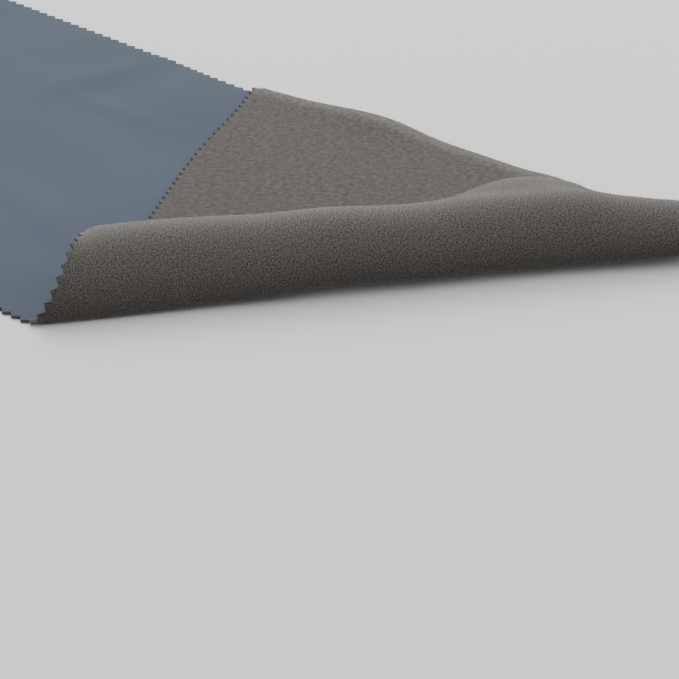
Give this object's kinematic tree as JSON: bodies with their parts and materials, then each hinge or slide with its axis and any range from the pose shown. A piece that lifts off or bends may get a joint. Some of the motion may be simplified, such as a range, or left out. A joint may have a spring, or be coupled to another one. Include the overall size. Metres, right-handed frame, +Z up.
{
  "type": "piano keyboard cover",
  "caption": "Long loose cloth cover for a keyboard, smooth on one side and felted on the other, pinked all round, lying flat with its right end folded back on a slant in a soft roll.",
  "frame": {"origin": "middle of the folded cover's outline, on the surface it lies on", "axes": "+X along the cover towards its folded end, +Y from the front edge to the back edge, +Z up"},
  "size_m": [1.3068, 0.32, 0.0407],
  "materials": {
    "bonded_felt_cloth": "matt blue-grey face with a napped grey felt reverse"
  },
  "bodies": {
    "root": {"cover_cloth": "bonded_felt_cloth"}
  },
  "joints": []
}
